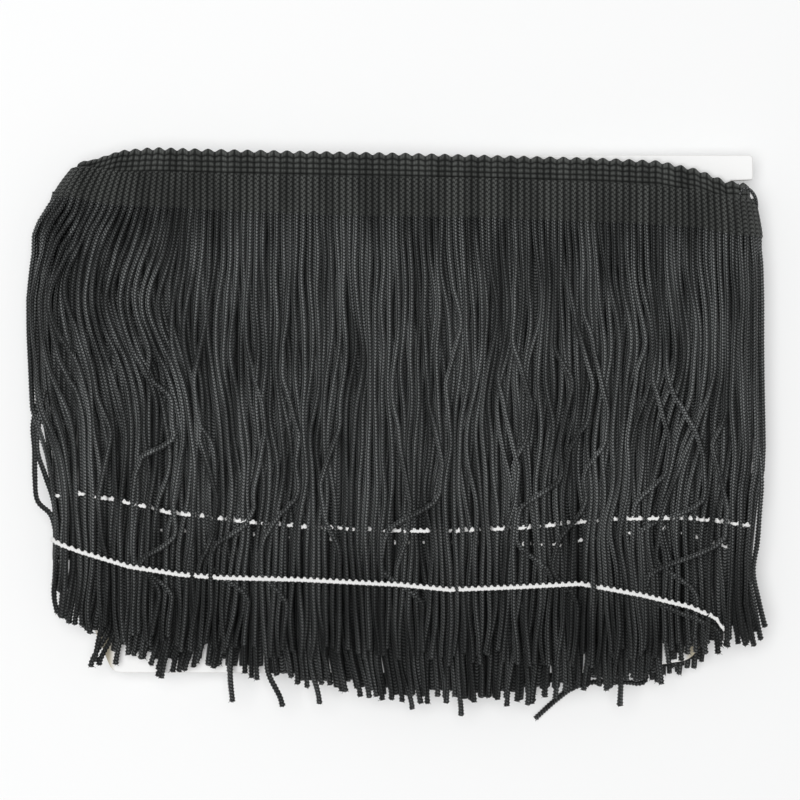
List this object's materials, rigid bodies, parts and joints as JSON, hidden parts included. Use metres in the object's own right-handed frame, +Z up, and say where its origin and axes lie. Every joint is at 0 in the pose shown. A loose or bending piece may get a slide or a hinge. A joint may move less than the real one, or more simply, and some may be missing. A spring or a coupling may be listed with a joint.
{
  "type": "tassel fringe trim wound on a card",
  "caption": "Black chainette tassel fringe with a ribbed, picot-edged knitted heading, wound flat on a plain white card.",
  "frame": {"origin": "middle of the wound trim's footprint, on the table under it", "axes": "+X along the heading, +Y towards its picot edge, +Z up from the table through the wound layers"},
  "size_m": [0.16, 0.1262, 0.0134],
  "materials": {
    "card_board": "uncoated white paper board",
    "knit_heading": "ribbed knit, low sheen",
    "cord_yarn": "knitted chainette cord, soft sheen"
  },
  "bodies": {
    "root": {"card": "card_board", "heading": "knit_heading", "front_fringe": "cord_yarn", "second_fringe": "cord_yarn", "under_fringe": "cord_yarn"}
  },
  "joints": []
}
